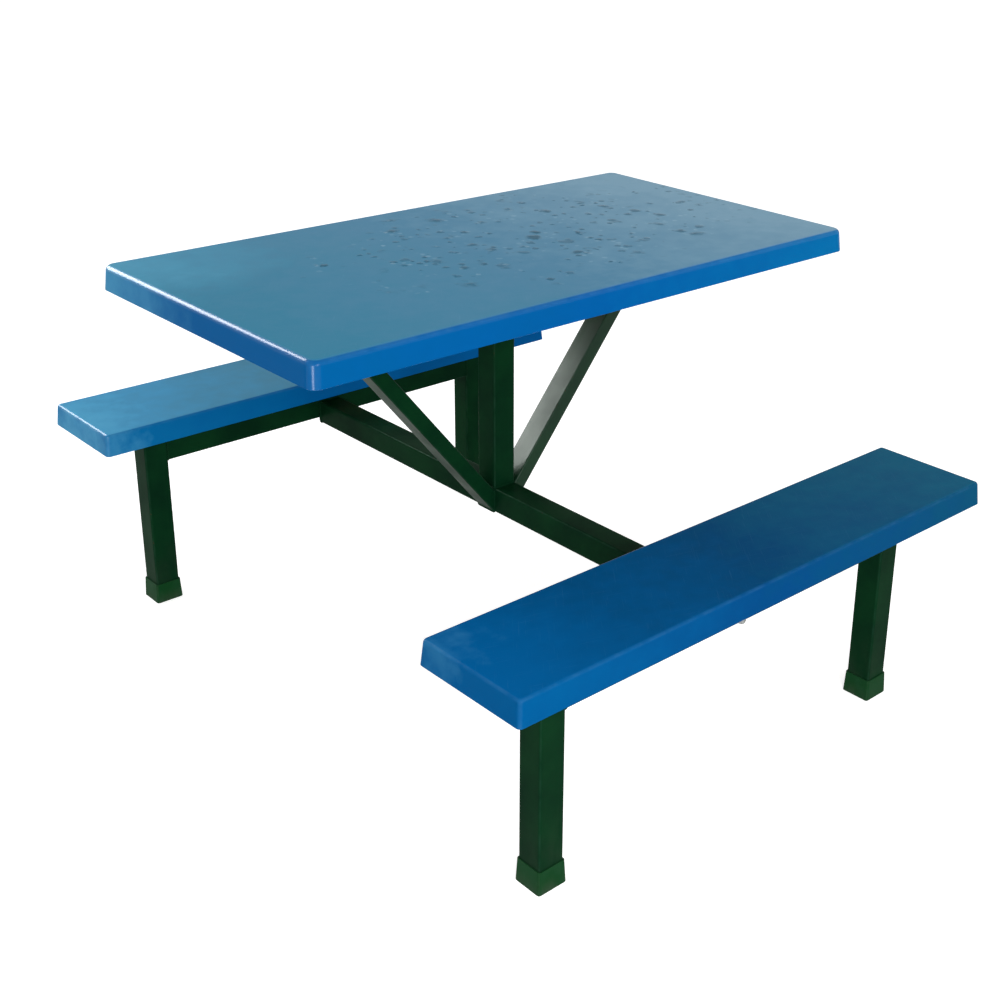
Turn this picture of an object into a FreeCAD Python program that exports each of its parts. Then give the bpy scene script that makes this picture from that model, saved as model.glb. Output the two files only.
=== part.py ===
import FreeCAD, Part
import math
import os

# A canteen table with two fixed benches. Moulded glass-fibre shells make the tabletop and
# the two seats, each with a plywood core board bonded inside. A frame of square steel tube
# carries them: each seat stands on two legs joined by a rail, a cross beam is bolted between
# the rails, and a column and two slanting braces rise from the beam to the tabletop.
# Nothing on it folds or moves.
#
# X runs along the table, Y across it from the front bench to the back bench, and Z up.
# The origin is on the floor under the middle of the table. Sizes are in millimetres.

# Tabletop: length and width are those of the flat top, before the edge flares outwards.
table_length = 1160.0
table_width = 622.0
table_height = 792.0
table_skirt = 42.0
table_corner_radius = 18.0
table_edge_radius = 9.0
table_core_thickness = 18.0

# Seats
seat_length = 1060.0
seat_width = 211.0
seat_height = 420.0
seat_skirt = 42.0
seat_corner_radius = 12.0
seat_edge_radius = 7.5
seat_core_thickness = 18.0
gap_between_table_and_seat = 166.0

# Moulded shells and their core boards
shell_wall = 4.0
mould_draft_degrees = 5.0
core_edge_gap = 6.0
core_corner_radius = 6.0

# Frame tube: legs, rails, posts, cross beam and column
tube_size = 48.0
tube_wall = 1.5
tube_corner_radius = 4.0
leg_inset = 133.0
rail_underside = 300.0
beam_underside = 291.0

# Braces: the thin side of their tube lies in the plane of the slope
brace_thickness = 28.0
brace_depth = 48.0
brace_wall = 1.5
brace_corner_radius = 3.0
brace_angle_degrees = 51.0

# Bearers under the tabletop, and the spine between them
bearer_width = 40.0
bearer_height = 20.0
bearer_wall = 1.5
bearer_corner_radius = 2.5
bearer_end_gap = 56.0

# Plates
seat_plate_width = 60.0
seat_plate_thickness = 5.0
seat_plate_corner_radius = 4.0
seat_plate_end_gap = 20.0
beam_plate_thickness = 5.0

# Foot caps: the wall is measured at the rim, and the outside widens towards the floor.
foot_wall = 2.2
foot_base = 3.0
foot_height = 40.0
foot_corner_radius = 6.0
foot_draft_degrees = 2.5

# Fasteners, all M8
bolt_diameter = 8.0
bolt_across_flats = 13.0
bolt_head_height = 5.3
bolt_reach_in_core = 13.0
nut_height = 6.5
thread_beyond_nut = 3.0
washer_diameter = 16.0
washer_thickness = 1.6
insert_diameter = 12.0
insert_length = 15.0
clearance_hole_diameter = 9.0
thread_gap = 0.1
washer_gap = 0.2
bearer_bolt_end_distance = 30.0
bearer_bolt_middle_distance = 90.0
seat_bolt_end_distance = 20.0
beam_bolt_spacing = 22.0

# Heights and places that follow from the sizes above
half_tube = tube_size / 2
table_core_underside = table_height - shell_wall - table_core_thickness
seat_core_underside = seat_height - shell_wall - seat_core_thickness
bearer_underside = table_core_underside - bearer_height
seat_plate_underside = seat_core_underside - seat_plate_thickness
rail_top = rail_underside + tube_size
beam_top = beam_underside + tube_size
bench_y = table_width / 2 + gap_between_table_and_seat + seat_width / 2
leg_x = seat_length / 2 - leg_inset
rail_inner_y = bench_y - half_tube
rail_outer_y = bench_y + half_tube
draft_slope = math.tan(math.radians(mould_draft_degrees))

# The foot of each brace is cut upright against the side of the beam, level with its underside.
brace_slope = math.tan(math.radians(brace_angle_degrees))
brace_foot_height = brace_thickness / math.cos(math.radians(brace_angle_degrees))
brace_foot_z = beam_underside + brace_foot_height / 2
bearer_x = half_tube + (bearer_underside - brace_foot_z) / brace_slope

ORIGIN = FreeCAD.Vector(0, 0, 0)
ALONG_X = FreeCAD.Vector(1, 0, 0)
ALONG_Y = FreeCAD.Vector(0, 1, 0)
ALONG_Z = FreeCAD.Vector(0, 0, 1)


def moved(shape, x=0.0, y=0.0, z=0.0):
    """A copy of a shape, shifted."""
    copy = shape.copy()
    copy.translate(FreeCAD.Vector(x, y, z))
    return copy


def turned(shape, axis, degrees):
    """A copy of a shape, turned about an axis through the origin."""
    copy = shape.copy()
    copy.rotate(ORIGIN, axis, degrees)
    return copy


def mirrored(shape, normal):
    """The mirror image of a shape in a plane through the origin."""
    return shape.mirror(ORIGIN, normal)


def rounded_outline(size_x, size_y, radius, z):
    """A closed rectangle with round corners, centred on the Z axis."""
    corner_x = size_x / 2 - radius
    corner_y = size_y / 2 - radius
    arcs = []
    for quarter, (side_x, side_y) in enumerate(((1, 1), (-1, 1), (-1, -1), (1, -1))):
        centre = FreeCAD.Vector(side_x * corner_x, side_y * corner_y, z)
        start = 90 * quarter
        arcs.append(Part.makeCircle(radius, centre, ALONG_Z, start, start + 90))
    edges = []
    for arc, next_arc in zip(arcs, arcs[1:] + arcs[:1]):
        arc_end = arc.valueAt(arc.LastParameter)
        next_start = next_arc.valueAt(next_arc.FirstParameter)
        edges.append(arc)
        edges.append(Part.makeLine(arc_end, next_start))
    return Part.Wire(edges)


def rounded_bar(size_x, size_y, radius, bottom, top):
    """A solid bar with round upright corners, centred on the Z axis."""
    face = Part.Face(rounded_outline(size_x, size_y, radius, bottom))
    return face.extrude(FreeCAD.Vector(0, 0, top - bottom))


def upright_tube(size_x, size_y, wall, radius, bottom, top):
    """A hollow tube that stands along the Z axis."""
    outer = rounded_bar(size_x, size_y, radius, bottom, top)
    inner = rounded_bar(size_x - 2 * wall, size_y - 2 * wall, radius - wall, bottom, top)
    return outer.cut(inner)


def tube_along_x(width, height, wall, radius, length):
    """A hollow tube that lies along the X axis, with its middle at the origin."""
    return turned(upright_tube(height, width, wall, radius, -length / 2, length / 2), ALONG_Y, 90)


def tube_along_y(width, height, wall, radius, length):
    """A hollow tube that lies along the Y axis, with its middle at the origin."""
    return turned(upright_tube(width, height, wall, radius, -length / 2, length / 2), ALONG_X, 90)


def cylinder(diameter, x, y, bottom, top):
    """An upright cylinder."""
    return Part.makeCylinder(diameter / 2, top - bottom, FreeCAD.Vector(x, y, bottom))


def hexagon_bar(across_flats, bottom, top):
    """An upright hexagonal bar on the Z axis, with the corners of both ends chamfered."""
    corner_radius = across_flats / math.sqrt(3)
    corners = []
    for corner in range(7):
        angle = math.radians(60 * corner)
        x = corner_radius * math.cos(angle)
        y = corner_radius * math.sin(angle)
        corners.append(FreeCAD.Vector(x, y, bottom))
    bar = Part.Face(Part.makePolygon(corners)).extrude(FreeCAD.Vector(0, 0, top - bottom))
    chamfer = corner_radius - across_flats / 2
    round_blank = Part.makeCylinder(corner_radius, top - bottom, FreeCAD.Vector(0, 0, bottom))
    rims = [edge for edge in round_blank.Edges if len(edge.Vertexes) == 1]
    return bar.common(round_blank.makeChamfer(chamfer, chamfer, rims))


def hex_bolt(length):
    """A bolt whose head sits below the origin and whose shank rises from it."""
    head = hexagon_bar(bolt_across_flats, -bolt_head_height, 0)
    return head.fuse(cylinder(bolt_diameter, 0, 0, 0, length)).removeSplitter()


def washer():
    """A plain washer that lies on the XY plane."""
    hole = cylinder(bolt_diameter + 2 * washer_gap, 0, 0, 0, washer_thickness)
    return cylinder(washer_diameter, 0, 0, 0, washer_thickness).cut(hole)


def nut():
    """A hexagon nut that stands on the XY plane."""
    hole = cylinder(bolt_diameter + 2 * thread_gap, 0, 0, 0, nut_height)
    return hexagon_bar(bolt_across_flats, 0, nut_height).cut(hole)


def threaded_insert():
    """A drive-in insert: a flush steel bush with a threaded bore, standing on the XY plane."""
    bore = cylinder(bolt_diameter + 2 * thread_gap, 0, 0, 0, insert_length)
    return cylinder(insert_diameter, 0, 0, 0, insert_length).cut(bore)


def raised(places, height):
    """The same places, all at one height."""
    return [(x, y, height) for x, y in places]


def at_each(shape, places):
    """One compound of separate copies of a shape, one at each place."""
    return Part.makeCompound([moved(shape, x, y, z) for x, y, z in places])


def moulded_shell(length, width, skirt, corner_radius, edge_radius, top):
    """A shallow tray turned upside down: a flat top and a skirt that flares downwards."""
    def outline(depth, inset):
        flare = depth * draft_slope - inset
        return rounded_outline(length + 2 * flare, width + 2 * flare, corner_radius + flare, top - depth)

    def block(inset, radius):
        blank = Part.makeLoft([outline(skirt, inset), outline(inset, inset)], True, True)
        rim = [edge for edge in blank.Edges if edge.BoundBox.ZMin > top - skirt / 2]
        return blank.makeFillet(radius, rim)

    return block(0, edge_radius).cut(block(shell_wall, edge_radius - shell_wall))


def core_board(length, width, thickness, top, bolt_places):
    """The plywood board under a shell's top face, with blind holes for the inserts."""
    room = 2 * (shell_wall * draft_slope - shell_wall - core_edge_gap)
    underside = top - shell_wall - thickness
    board = rounded_bar(length + room, width + room, core_corner_radius, underside, top - shell_wall)
    for x, y in bolt_places:
        board = board.cut(cylinder(insert_diameter, x, y, underside, underside + insert_length))
    return board


def inside_width(width):
    """The clear width between the two skirts of a shell, at the level of its core board."""
    return width + 2 * (shell_wall * draft_slope - shell_wall)


def table_bolt_places():
    """Where bolts come up through the two bearers into the tabletop."""
    end_y = bearer_length() / 2 - bearer_bolt_end_distance
    rows = (-end_y, -bearer_bolt_middle_distance, bearer_bolt_middle_distance, end_y)
    return [(side * bearer_x, y) for side in (-1, 1) for y in rows]


def bearer_length():
    """How long a bearer is, so that it ends clear of the skirt."""
    return inside_width(table_width) - 2 * bearer_end_gap


def table_bearer(side):
    """A flat tube across the underside of the tabletop, drilled for its bolts."""
    bearer = tube_along_y(bearer_width, bearer_height, bearer_wall, bearer_corner_radius, bearer_length())
    bearer = moved(bearer, side * bearer_x, 0, bearer_underside + bearer_height / 2)
    for x, y in table_bolt_places():
        if x * side > 0:
            hole = cylinder(clearance_hole_diameter, x, y, bearer_underside, table_core_underside)
            bearer = bearer.cut(hole)
    return bearer


def table_spine():
    """The flat tube that joins the two bearers over the column."""
    length = 2 * bearer_x - bearer_width
    spine = tube_along_x(bearer_width, bearer_height, bearer_wall, bearer_corner_radius, length)
    return moved(spine, z=bearer_underside + bearer_height / 2)


def right_brace():
    """A tube from the beam's right side up to the right bearer, cut upright at its foot and
    level at its top."""
    long_enough = 2 * table_height
    tube = upright_tube(brace_thickness, brace_depth, brace_wall, brace_corner_radius,
                        -long_enough, long_enough)
    tube = turned(tube, ALONG_Y, 90 - brace_angle_degrees)
    tube = moved(tube, x=half_tube, z=brace_foot_z)
    room = Part.makeBox(long_enough, 2 * brace_depth, bearer_underside,
                        FreeCAD.Vector(half_tube, -brace_depth, 0))
    return tube.common(room)


def cross_beam():
    """The beam that joins the two rails, between its end plates."""
    length = 2 * (rail_inner_y - beam_plate_thickness)
    beam = tube_along_y(tube_size, tube_size, tube_wall, tube_corner_radius, length)
    return moved(beam, z=beam_underside + half_tube)


def beam_bolt_heights():
    """The heights of the two bolts in each end of the beam, central where beam and rail meet."""
    middle = (rail_underside + beam_top) / 2
    return (middle - beam_bolt_spacing / 2, middle + beam_bolt_spacing / 2)


def back_beam_plate():
    """The plate that closes the beam's back end, with two bolt holes."""
    plate = rounded_bar(tube_size, tube_size, tube_corner_radius, 0, beam_plate_thickness)
    plate = moved(turned(plate, ALONG_X, 90), y=rail_inner_y, z=beam_underside + half_tube)
    for height in beam_bolt_heights():
        plate = plate.cut(cross_hole(height))
    return plate


def cross_hole(height):
    """A cutter for a hole along Y through the back rail and the beam's back plate."""
    length = tube_size + beam_plate_thickness
    return Part.makeCylinder(clearance_hole_diameter / 2, length,
                             FreeCAD.Vector(0, rail_inner_y - beam_plate_thickness, height), ALONG_Y)


def back_rail():
    """The tube between the two legs of the back bench, drilled for the beam's bolts."""
    rail = tube_along_x(tube_size, tube_size, tube_wall, tube_corner_radius, 2 * (leg_x - half_tube))
    rail = moved(rail, y=bench_y, z=rail_underside + half_tube)
    for height in beam_bolt_heights():
        rail = rail.cut(cross_hole(height))
    return rail


def back_beam_fasteners():
    """The bolts, washers and nuts that hold the beam to the back rail. The heads are outside."""
    bolt_length = washer_thickness + tube_size + beam_plate_thickness + nut_height + thread_beyond_nut
    head_seat = rail_outer_y + washer_thickness
    nut_face = rail_inner_y - beam_plate_thickness
    head_places = [(0, head_seat, height) for height in beam_bolt_heights()]
    nut_places = [(0, nut_face, height) for height in beam_bolt_heights()]
    bolts = at_each(turned(hex_bolt(bolt_length), ALONG_X, 90), head_places)
    washers = at_each(turned(washer(), ALONG_X, 90), head_places)
    nuts = at_each(turned(nut(), ALONG_X, 90), nut_places)
    return bolts, washers, nuts


def leg():
    """A leg from the inside of its foot cap up to its seat plate, standing at the origin."""
    return upright_tube(tube_size, tube_size, tube_wall, tube_corner_radius, foot_base, seat_plate_underside)


def foot_cap():
    """A moulded cap over the bottom of a leg, standing at the origin."""
    flare = foot_height * math.tan(math.radians(foot_draft_degrees))
    rim_size = tube_size + 2 * foot_wall
    base_size = rim_size + 2 * flare
    base = rounded_outline(base_size, base_size, foot_corner_radius + flare, 0)
    rim = rounded_outline(rim_size, rim_size, foot_corner_radius, foot_height)
    cap = Part.makeLoft([base, rim], True, True)
    return cap.cut(rounded_bar(tube_size, tube_size, tube_corner_radius, foot_base, foot_height))


def middle_post():
    """The short tube between the rail and the middle seat plate, standing at the origin."""
    return upright_tube(tube_size, tube_size, tube_wall, tube_corner_radius, rail_top, seat_plate_underside)


def seat_bolt_distance():
    """How far the bolts in a seat plate stand from the middle of the seat."""
    return inside_width(seat_width) / 2 - seat_plate_end_gap - seat_bolt_end_distance


def seat_plate():
    """The plate on top of a leg or post, with a bolt hole in each end, at the origin."""
    length = inside_width(seat_width) - 2 * seat_plate_end_gap
    plate = rounded_bar(seat_plate_width, length, seat_plate_corner_radius,
                        seat_plate_underside, seat_core_underside)
    for side in (-1, 1):
        y = side * seat_bolt_distance()
        hole = cylinder(clearance_hole_diameter, 0, y, seat_plate_underside, seat_core_underside)
        plate = plate.cut(hole)
    return plate


def table_nodes():
    """Every piece of the tabletop and of the stand under it."""
    places = table_bolt_places()
    bolt_length = washer_thickness + bearer_height + bolt_reach_in_core
    washer_underside = bearer_underside - washer_thickness
    brace = right_brace()
    return {
        "tabletop_shell": moulded_shell(table_length, table_width, table_skirt, table_corner_radius,
                                        table_edge_radius, table_height),
        "tabletop_core": core_board(table_length, table_width, table_core_thickness, table_height,
                                    places),
        "tabletop_inserts": at_each(threaded_insert(), raised(places, table_core_underside)),
        "tabletop_washers": at_each(washer(), raised(places, washer_underside)),
        "tabletop_bolts": at_each(hex_bolt(bolt_length), raised(places, washer_underside)),
        "table_bearer_left": table_bearer(-1),
        "table_bearer_right": table_bearer(1),
        "table_spine": table_spine(),
        "column": upright_tube(tube_size, tube_size, tube_wall, tube_corner_radius,
                               beam_top, bearer_underside),
        "brace_left": mirrored(brace, ALONG_X),
        "brace_right": brace,
        "cross_beam": cross_beam(),
    }


def beam_joint_nodes():
    """The end plates of the beam and the fasteners that hold it to both rails."""
    plate = back_beam_plate()
    nodes = {
        "beam_plate_back": plate,
        "beam_plate_front": mirrored(plate, ALONG_Y),
    }
    for name, back in zip(("beam_bolts", "beam_washers", "beam_nuts"), back_beam_fasteners()):
        nodes[name] = Part.makeCompound(back.Solids + mirrored(back, ALONG_Y).Solids)
    return nodes


def back_bench_nodes():
    """Every piece of the back bench, by its plain name."""
    stands = {"left": -leg_x, "middle": 0.0, "right": leg_x}
    places = [(x, side * seat_bolt_distance()) for x in stands.values() for side in (-1, 1)]
    washer_underside = seat_plate_underside - washer_thickness
    bolt_length = washer_thickness + seat_plate_thickness + bolt_reach_in_core
    nodes = {
        "seat_shell": moulded_shell(seat_length, seat_width, seat_skirt, seat_corner_radius,
                                    seat_edge_radius, seat_height),
        "seat_core": core_board(seat_length, seat_width, seat_core_thickness, seat_height, places),
        "seat_inserts": at_each(threaded_insert(), raised(places, seat_core_underside)),
        "seat_washers": at_each(washer(), raised(places, washer_underside)),
        "seat_bolts": at_each(hex_bolt(bolt_length), raised(places, washer_underside)),
        "middle_post": middle_post(),
    }
    for stand, x in stands.items():
        nodes[stand + "_seat_plate"] = moved(seat_plate(), x=x)
    for side in ("left", "right"):
        nodes[side + "_leg"] = moved(leg(), x=stands[side])
        nodes[side + "_foot"] = moved(foot_cap(), x=stands[side])
    nodes = {name: moved(shape, y=bench_y) for name, shape in nodes.items()}
    nodes["rail"] = back_rail()
    return nodes


def all_nodes():
    """Every node of the table by name. The front bench mirrors the back one."""
    nodes = table_nodes()
    nodes.update(beam_joint_nodes())
    for name, shape in back_bench_nodes().items():
        nodes["back_" + name] = shape
        nodes["front_" + name] = mirrored(shape, ALONG_Y)
    return nodes


def write_parts():
    """Write one STEP file for each node, and say what it holds."""
    os.makedirs("parts", exist_ok=True)
    for name, shape in all_nodes().items():
        solids = shape.Solids
        assert solids and all(solid.isValid() for solid in solids), name + " is not a sound solid"
        shape.exportStep("parts/" + name + ".step")
        volume = sum(solid.Volume for solid in solids) / 1000
        print(f"{name}: {len(solids)} solid(s), {volume:.1f} cm3")


write_parts()
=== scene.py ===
# %% [markdown]
# # A canteen table with two fixed benches
# The real table is a welded frame of square steel tube that carries three mouldings of glass
# fibre: a tabletop and two seats. The frame's shapes and sizes are already settled in the CAD
# model, so this lesson never moves them. It gives each surface its finish, and it models what
# the CAD model leaves plain: the mouldings' skins, the weld beads, the resin under the boards
# and the caps on the feet.

# %% Load the frame
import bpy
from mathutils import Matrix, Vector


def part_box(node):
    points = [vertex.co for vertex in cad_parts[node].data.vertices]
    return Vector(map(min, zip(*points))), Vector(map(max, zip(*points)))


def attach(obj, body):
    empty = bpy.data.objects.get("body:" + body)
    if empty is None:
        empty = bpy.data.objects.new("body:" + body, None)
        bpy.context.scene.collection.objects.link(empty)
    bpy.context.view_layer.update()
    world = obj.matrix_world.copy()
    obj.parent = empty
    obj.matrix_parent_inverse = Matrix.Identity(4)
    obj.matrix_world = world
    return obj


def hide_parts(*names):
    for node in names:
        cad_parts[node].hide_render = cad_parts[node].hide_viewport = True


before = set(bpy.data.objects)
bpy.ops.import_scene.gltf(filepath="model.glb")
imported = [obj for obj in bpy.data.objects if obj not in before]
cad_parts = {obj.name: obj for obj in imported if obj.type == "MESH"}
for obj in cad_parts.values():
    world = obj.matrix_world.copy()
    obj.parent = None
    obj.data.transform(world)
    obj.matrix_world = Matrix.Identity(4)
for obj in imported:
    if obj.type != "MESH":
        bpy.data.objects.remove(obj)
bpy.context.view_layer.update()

# %% Modules and the millimetre
import math

import bmesh
import bpy
from mathutils import Quaternion, Vector, noise

MM = 0.001

# %% [markdown]
# ## The camera
# A camera can be dragged about until the view looks right, or placed as a person would stand:
# this far away, this high above the floor, looking at this point. The second way is repeatable.
# Here somebody stands off the table's front left corner and looks down a little. The table isn't
# in the middle of the view, so the lens is shifted to the left and down.

# %% Place the camera
LOOK_AT = Vector((0.3107, 0.0793, 0.400))
DISTANCE = 2.9487
HEADING = math.radians(-43.504)
LOOK_DOWN = math.radians(21.148)
LEAN = math.radians(1.3145)
LENS_MM = 52.529
SHIFT_X = -0.09
SHIFT_Y = -0.10


def place_camera():
    """A camera at a distance from a point, on a heading and at an angle above the floor."""
    bpy.ops.object.camera_add()
    camera = bpy.context.object
    camera.name = "camera"
    back = Vector((math.sin(HEADING) * math.cos(LOOK_DOWN),
                   -math.cos(HEADING) * math.cos(LOOK_DOWN),
                   math.sin(LOOK_DOWN)))
    camera.location = LOOK_AT + back * DISTANCE
    camera.rotation_mode = "QUATERNION"
    level_view = (-back).to_track_quat("-Z", "Y")
    camera.rotation_quaternion = level_view @ Quaternion((0, 0, 1), LEAN)
    camera.data.lens = LENS_MM
    camera.data.shift_x = SHIFT_X
    camera.data.shift_y = SHIFT_Y
    bpy.context.scene.camera = camera
    return camera


camera = place_camera()
print("camera stands at", [round(value, 2) for value in camera.location])

# %% [markdown]
# ## Short ways to write node trees
# Every finish below is a tree of nodes. Made by hand, each node is added, set and linked. Small
# helpers keep that readable: one adds a node and fills its sockets, with a value or with a
# link, and the others do what most finishes need, such as mixing two colours by a mask.

# %% Node helpers
def put(tree, kind, inputs=None, **settings):
    """Add a node, set its properties, and give each named input a value or a link."""
    node = tree.nodes.new(kind)
    for name, value in settings.items():
        setattr(node, name, value)
    for name, value in (inputs or {}).items():
        if isinstance(value, bpy.types.NodeSocket):
            tree.links.new(value, node.inputs[name])
        else:
            node.inputs[name].default_value = value
    return node


def calculate(tree, operation, first, second=0.0):
    """The result of one Math node."""
    node = put(tree, "ShaderNodeMath", {0: first, 1: second}, operation=operation)
    return node.outputs["Value"]


def times(tree, first, second):
    """One value times another, so that a mask weakens a pattern or cuts it off."""
    return calculate(tree, "MULTIPLY", first, second)


def between(tree, value, low, high, at_low=0.0, at_high=1.0):
    """A value that goes from at_low to at_high as another goes from low to high."""
    node = put(tree, "ShaderNodeMapRange", {"Value": value, "From Min": low, "From Max": high,
                                            "To Min": at_low, "To Max": at_high})
    return node.outputs["Result"]


def mix_colours(tree, mask, first, second):
    """The first colour where the mask is 0 and the second where it is 1."""
    node = put(tree, "ShaderNodeMix", {0: mask}, data_type="RGBA")
    for socket, colour in ((node.inputs[6], first), (node.inputs[7], second)):
        if isinstance(colour, bpy.types.NodeSocket):
            tree.links.new(colour, socket)
        else:
            socket.default_value = (*colour, 1.0)
    return node.outputs[2]


def part_of(tree, vector, axis):
    """The X, Y or Z of a vector."""
    return put(tree, "ShaderNodeSeparateXYZ", {"Vector": vector}).outputs[axis]


def stretched(tree, place, scale):
    """A place in a pattern that is pressed together where the scale is large."""
    return put(tree, "ShaderNodeMapping", {"Vector": place, "Scale": scale}).outputs["Vector"]


def facing(tree):
    """The direction that the surface faces."""
    return put(tree, "ShaderNodeNewGeometry").outputs["Normal"]


def turned(tree, vector, angle, axis="Z_AXIS"):
    """A vector turned about an axis."""
    return put(tree, "ShaderNodeVectorRotate", {"Vector": vector, "Angle": angle},
               rotation_type=axis).outputs["Vector"]


print("node helpers ready")

# %% [markdown]
# ## The floor and the light
# The table stands in a plain white studio: a floor that runs on without a visible end, and
# white all round. The white matters, because a glossy top mirrors what is far away when it is
# seen at a shallow angle, and that is why the tabletop looks greyer than its own skirt. The
# soft light comes more from the sides than from above. A lamp at the front left lights the two
# sides that the camera sees, and a weaker one behind fills the shadows. Two more stand for a
# window and a doorway: they light nothing up, and only show as fine lines in glossy edges.

# %% Soft light from all round
WHITE = (1.0, 1.0, 1.0)
SIDE_LIGHT = 0.75
TOP_LIGHT = 0.50
SIDE_UP_TO = 0.34
TOP_FROM = 0.52


def seen_directly(tree):
    """1 for what the camera, a mirror or clear glass sees, and 0 for what lights the table."""
    paths = put(tree, "ShaderNodeLightPath").outputs
    seen = calculate(tree, "MAXIMUM", paths["Is Camera Ray"], paths["Is Glossy Ray"])
    return calculate(tree, "MAXIMUM", seen, paths["Is Transmission Ray"])


def studio_world():
    """Light from all sides and less from above. The camera and every mirror see plain white."""
    world = bpy.data.worlds.new("studio")
    bpy.context.scene.world = world
    world.use_nodes = True
    tree = world.node_tree
    tree.nodes.clear()
    direction = put(tree, "ShaderNodeTexCoord").outputs["Generated"]
    height = part_of(tree, direction, "Z")
    soft = between(tree, height, SIDE_UP_TO, TOP_FROM, SIDE_LIGHT, TOP_LIGHT)
    strength = calculate(tree, "MAXIMUM", soft, seen_directly(tree))
    background = put(tree, "ShaderNodeBackground", {"Color": (*WHITE, 1.0), "Strength": strength})
    put(tree, "ShaderNodeOutputWorld", {"Surface": background.outputs["Background"]})


studio_world()
print("soft light", SIDE_LIGHT, "from the sides and", TOP_LIGHT, "from above")

# %% White floor
FLOOR_SIZE = 60.0
FLOOR_COLOUR = (0.80, 0.80, 0.80)
FLOOR_GLOW = 0.68


def studio_floor():
    """A wide matt floor that the camera sees as white, with the table's soft shadow on it."""
    bpy.ops.mesh.primitive_plane_add(size=FLOOR_SIZE)
    floor = bpy.context.object
    floor.name = "floor"
    material = bpy.data.materials.new("floor_white")
    material.use_nodes = True
    tree = material.node_tree
    tree.nodes.clear()
    glow = times(tree, seen_directly(tree), FLOOR_GLOW)
    matt = put(tree, "ShaderNodeBsdfDiffuse", {"Color": (*FLOOR_COLOUR, 1.0)})
    light = put(tree, "ShaderNodeEmission", {"Color": (*WHITE, 1.0), "Strength": glow})
    both = put(tree, "ShaderNodeAddShader", {0: matt.outputs["BSDF"], 1: light.outputs["Emission"]})
    put(tree, "ShaderNodeOutputMaterial", {"Surface": both.outputs["Shader"]})
    floor.data.materials.append(material)


studio_floor()
print("floor", FLOOR_SIZE, "m across")

# %% Lamps
AIM = Vector((0.0, 0.0, 0.55))


def lamp(name, place, size, watts, lights_up=True):
    """A square area lamp that faces the table. One that lights nothing up is only mirrored."""
    bpy.ops.object.light_add(type="AREA", location=place)
    light = bpy.context.object
    light.name = name
    light.data.size = size
    light.data.energy = watts
    light.rotation_mode = "QUATERNION"
    light.rotation_quaternion = (AIM - Vector(place)).to_track_quat("-Z", "Y")
    light.visible_diffuse = lights_up
    return light


lamp("front_lamp", (-1.3, -2.9, 1.6), 1.0, 62)
lamp("back_lamp", (-1.5, 2.8, 2.5), 1.0, 38)
lamp("window", (-1.32, 2.88, 2.05), 1.6, 165, lights_up=False)
lamp("doorway", (-3.60, -2.25, 0.55), 1.0, 110, lights_up=False)
bpy.context.scene.view_settings.view_transform = "Standard"
print("two lamps, a window and a doorway")

# %% [markdown]
# ## Patterns that several finishes share
# Wear, dirt and ripples could be painted by hand on one image per piece. A node group does it
# better here: it works out the same effect from the shape itself, at the right scale on every
# piece, and each material only says how strong it is. Eight groups serve the whole table:
# uneven colour, worn corners, fine scratches, a rippled surface, dust near the floor, the flat
# top of a piece, three colours from end to end, which also carry painted shade and painted
# reflection, and a pale spot painted on as a sheen.

# %% Helpers for node groups
INPUT_KINDS = {1: "NodeSocketFloat", 3: "NodeSocketVector", 4: "NodeSocketColor"}
GREY = (0.5, 0.5, 0.5, 1.0)


def new_group(name, inputs, output, kind="NodeSocketFloat"):
    """An empty node group with named inputs and one output: its tree and its inputs. Three
    numbers make a place and four a colour."""
    tree = bpy.data.node_groups.new(name, "ShaderNodeTree")
    for socket, default in inputs.items():
        count = len(default) if isinstance(default, tuple) else 1
        made = tree.interface.new_socket(socket, in_out="INPUT", socket_type=INPUT_KINDS[count])
        made.default_value = default
    tree.interface.new_socket(output, in_out="OUTPUT", socket_type=kind)
    return tree, tree.nodes.new("NodeGroupInput").outputs


def give(tree, result):
    """Link a result to the group's output, and return the finished group."""
    tree.links.new(result, tree.nodes.new("NodeGroupOutput").inputs[0])
    print("group", tree.name)
    return tree


def from_group(tree, group, **inputs):
    """Place a group with its own values, and return what it puts out."""
    named = {name.replace("_", " "): value for name, value in inputs.items()}
    return put(tree, "ShaderNodeGroup", named, node_tree=group).outputs[0]


def on_piece(tree):
    """The place on the piece, in metres, which every pattern is laid out by."""
    return put(tree, "ShaderNodeTexCoord").outputs["Object"]


def clouds(tree, place, scale, detail=4.0):
    """A cloudy pattern between 0 and 1, with its middle at 0.5."""
    return put(tree, "ShaderNodeTexNoise", {"Vector": place, "Scale": scale, "Detail": detail,
                                            "Roughness": 0.55}).outputs["Fac"]


print("group helpers ready")

# %% Uneven colour
def uneven_group():
    """Soft patches where a finish is a little thicker, cleaner or more faded than elsewhere."""
    tree, given = new_group("uneven", {"size": 0.10, "amount": 1.0}, "mask")
    scale = calculate(tree, "DIVIDE", 1.0, given["size"])
    patches = between(tree, clouds(tree, on_piece(tree), scale), 0.36, 0.64)
    return give(tree, times(tree, patches, given["amount"]))


UNEVEN = uneven_group()

# %% Worn corners
FLAT_FACE = 0.015
FULL_CORNER = 0.16


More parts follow.
